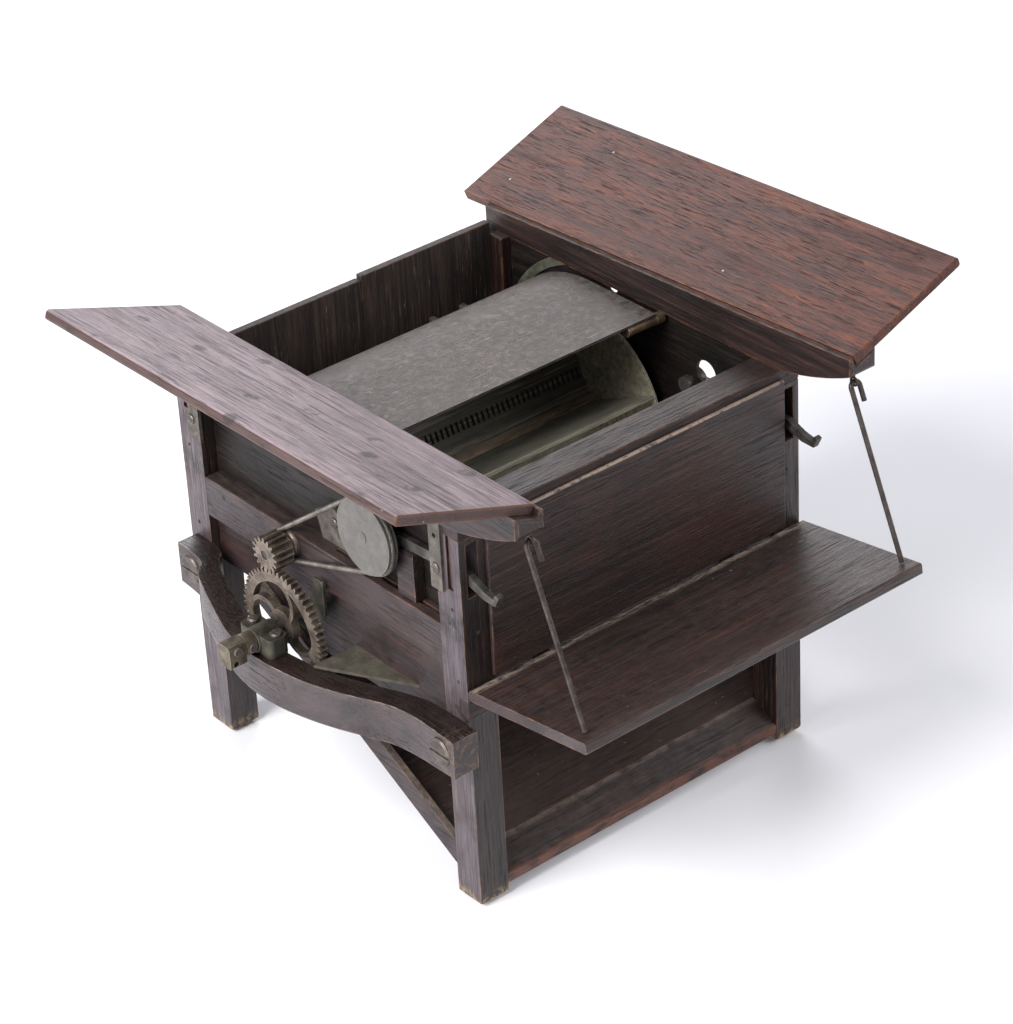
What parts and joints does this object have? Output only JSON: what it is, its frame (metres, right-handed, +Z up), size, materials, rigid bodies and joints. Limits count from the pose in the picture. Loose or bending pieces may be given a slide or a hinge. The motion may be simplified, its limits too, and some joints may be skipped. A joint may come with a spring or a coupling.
{
  "type": "hand-cranked drum machine on a stand",
  "caption": "Hand-cranked machine on a wooden stand: a bladed drum under a hood, geared crank, spring belt to a pulley, fold-out front table and sloping wing boards.",
  "frame": {"origin": "middle of the overall box, on the floor under the feet", "axes": "+X along the front from the gear side to the far side (longest extent), +Y from the front table to the back, +Z up (shortest extent)"},
  "size_m": [0.319, 0.3046, 0.2517],
  "materials": {
    "dark_wood": "dark stained, open pores, worn arrises",
    "red_wood": "reddish-brown stained, dusty",
    "panel_board": "blackened, stippled",
    "axle_wood": "bare, pale",
    "blade_wood": "pale greenish, thin",
    "zinc_sheet": "dull grey sheet, scratched",
    "steel": "worn steel",
    "dark_iron": "dark, oily",
    "bronze": "green-brown patina",
    "pale_brass": "pale, worn",
    "chute_board": "dusty, worn pale at the lip"
  },
  "bodies": {
    "stand": {"back_board_left": "dark_wood", "back_board_right": "dark_wood", "back_casing": "zinc_sheet", "bowed_rail": "dark_wood", "brace_plate": "steel", "chute_cheeks": "chute_board", "chute_floor": "chute_board", "chute_lip": "chute_board", "crank_bracket": "bronze", "drum_bearings": "dark_iron", "front_lining": "dark_wood", "front_middle_rail": "dark_wood", "front_panel": "dark_wood", "front_top_rail": "dark_wood", "hood_hinge_ears": "steel", "hood_hinge_pins": "steel", "hood_rest_pins": "steel", "left_bar": "dark_wood", "left_board": "dark_wood", "left_middle_rail": "dark_wood", "left_side_panel": "panel_board", "leg_back_left": "dark_wood", "leg_back_right": "dark_wood", "leg_front_left": "dark_wood", "leg_front_right": "dark_wood", "lever_pivots": "dark_iron", "lever_rests": "dark_wood", "lower_panels": "dark_wood", "rail_screws": "steel", "right_bar": "dark_wood", "right_board": "red_wood", "right_middle_rail": "dark_wood", "right_side_panel": "panel_board", "shaft_hanger": "bronze", "small_screws": "steel", "spring_belt": "steel", "stay_eyes": "steel", "steady_plate": "steel", "strap_plates": "steel", "table_hinge_knuckles": "steel"},
    "crank": {"crank_gear": "bronze", "crank_shaft": "dark_iron", "shaft_collar": "pale_brass", "crank_clamp": "pale_brass", "clamp_screws": "steel"},
    "drum": {"drum_shaft": "dark_iron", "drum_axle": "axle_wood", "drum_ends": "pale_brass", "drum_blades": "blade_wood", "blade_teeth": "steel", "pinion": "bronze", "small_pulley": "bronze"},
    "pulley": {"large_pulley": "zinc_sheet"},
    "hood_lid": {"hood": "zinc_sheet"},
    "table": {"front_table": "red_wood", "table_hinge_pins": "steel"},
    "left_stay": {"stay_left": "steel"},
    "right_stay": {"stay_right": "steel"},
    "left_lever": {"lever_left": "dark_iron"},
    "right_lever": {"lever_right": "dark_iron"}
  },
  "joints": [
    {"name": "crank_spin", "type": "hinge", "parent": "stand", "child": "crank", "pos_m": [-0.13804, 0.04392, 0.10379], "axis": [1, 0, 0], "continuous": true},
    {"name": "drum_spin", "type": "hinge", "parent": "stand", "child": "drum", "pos_m": [0.00196, 0.0514, 0.139], "axis": [1, 0, 0], "continuous": true},
    {"name": "pulley_spin", "type": "hinge", "parent": "stand", "child": "pulley", "pos_m": [-0.09804, -0.01159, 0.172], "axis": [1, 0, 0], "continuous": true},
    {"name": "hood_lift", "type": "hinge", "parent": "stand", "child": "hood_lid", "pos_m": [0.00196, 0.11271, 0.17023], "axis": [-1, 0, 0], "range_deg": [0, 55]},
    {"name": "table_fold", "type": "hinge", "parent": "stand", "child": "table", "pos_m": [0.00196, -0.0768, 0.1176], "axis": [1, 0, 0], "range_deg": [0, 95]},
    {"name": "left_stay_swing", "type": "hinge", "parent": "stand", "child": "left_stay", "pos_m": [-0.08944, -0.11159, 0.2094], "axis": [1, 0, 0], "range_deg": [0, 23.75]},
    {"name": "right_stay_swing", "type": "hinge", "parent": "stand", "child": "right_stay", "pos_m": [0.09906, -0.11159, 0.2094], "axis": [1, 0, 0], "range_deg": [0, 23.75]},
    {"name": "left_lever_lift", "type": "hinge", "parent": "stand", "child": "left_lever", "pos_m": [-0.09194, -0.01159, 0.172], "axis": [-1, 0, 0], "range_deg": [0, 11]},
    {"name": "right_lever_lift", "type": "hinge", "parent": "stand", "child": "right_lever", "pos_m": [0.09586, -0.01159, 0.172], "axis": [-1, 0, 0], "range_deg": [0, 11]}
  ],
  "couplings": [
    {"joint": "drum_spin", "follows": "crank_spin", "ratio": -3.5},
    {"joint": "pulley_spin", "follows": "crank_spin", "ratio": -1.4344},
    {"joint": "left_stay_swing", "follows": "table_fold", "ratio": 0.25},
    {"joint": "right_stay_swing", "follows": "table_fold", "ratio": 0.25}
  ]
}
